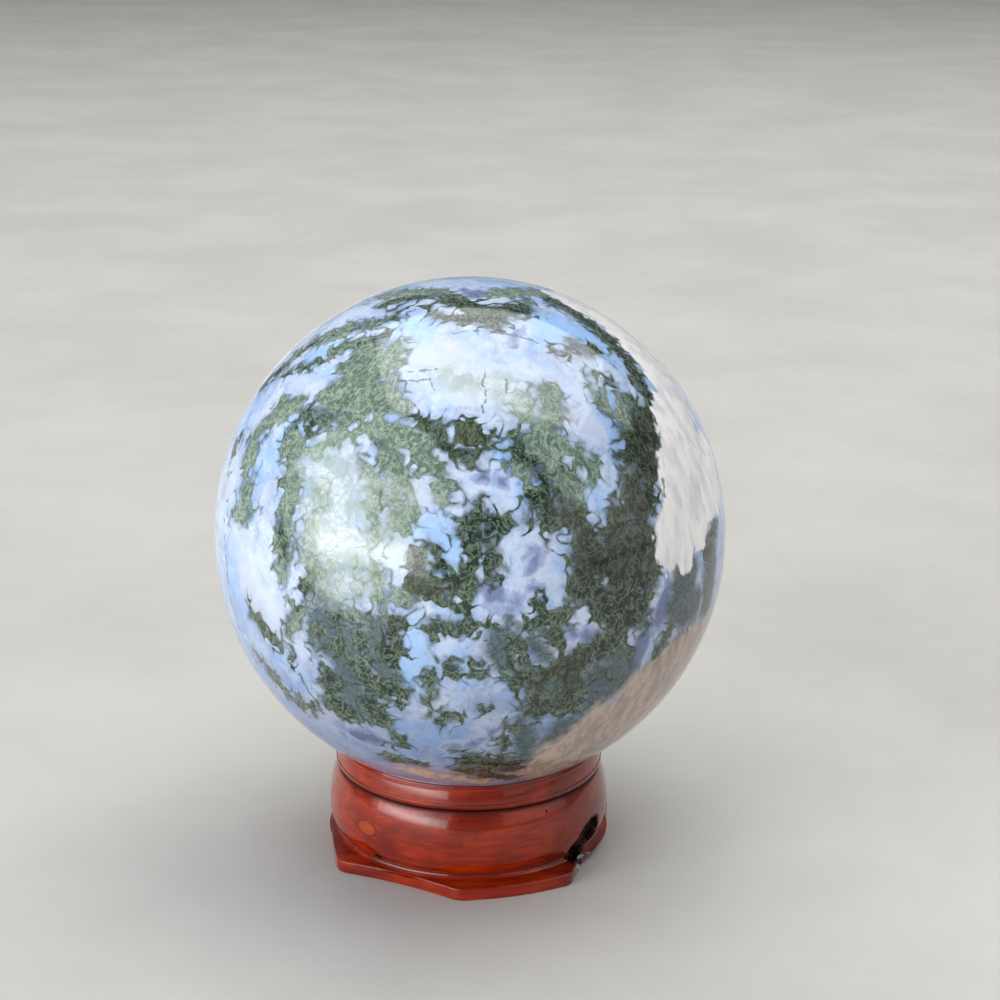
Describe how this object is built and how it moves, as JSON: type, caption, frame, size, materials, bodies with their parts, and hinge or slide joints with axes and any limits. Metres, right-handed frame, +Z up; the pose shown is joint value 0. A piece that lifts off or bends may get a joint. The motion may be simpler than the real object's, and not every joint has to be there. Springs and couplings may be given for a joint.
{
  "type": "decorative sphere",
  "caption": "Polished moss agate sphere resting in the cup of a small turned, red-brown lacquered wooden stand with a hand-cut, many-sided foot plate.",
  "frame": {"origin": "middle of the stand's underside on the surface it stands on, straight below the sphere's centre", "axes": "+Z up, -Y towards the front, where the foot plate has its foremost corner, and +X to the right seen from the front, the side of the knot hollow"},
  "size_m": [0.06, 0.06, 0.0687],
  "materials": {
    "moss_agate": "polished, banded blue-white with green moss",
    "lacquered_wood": "glossy red-brown lacquer"
  },
  "bodies": {
    "root": {"agate_sphere": "moss_agate", "stand": "lacquered_wood"}
  },
  "joints": []
}
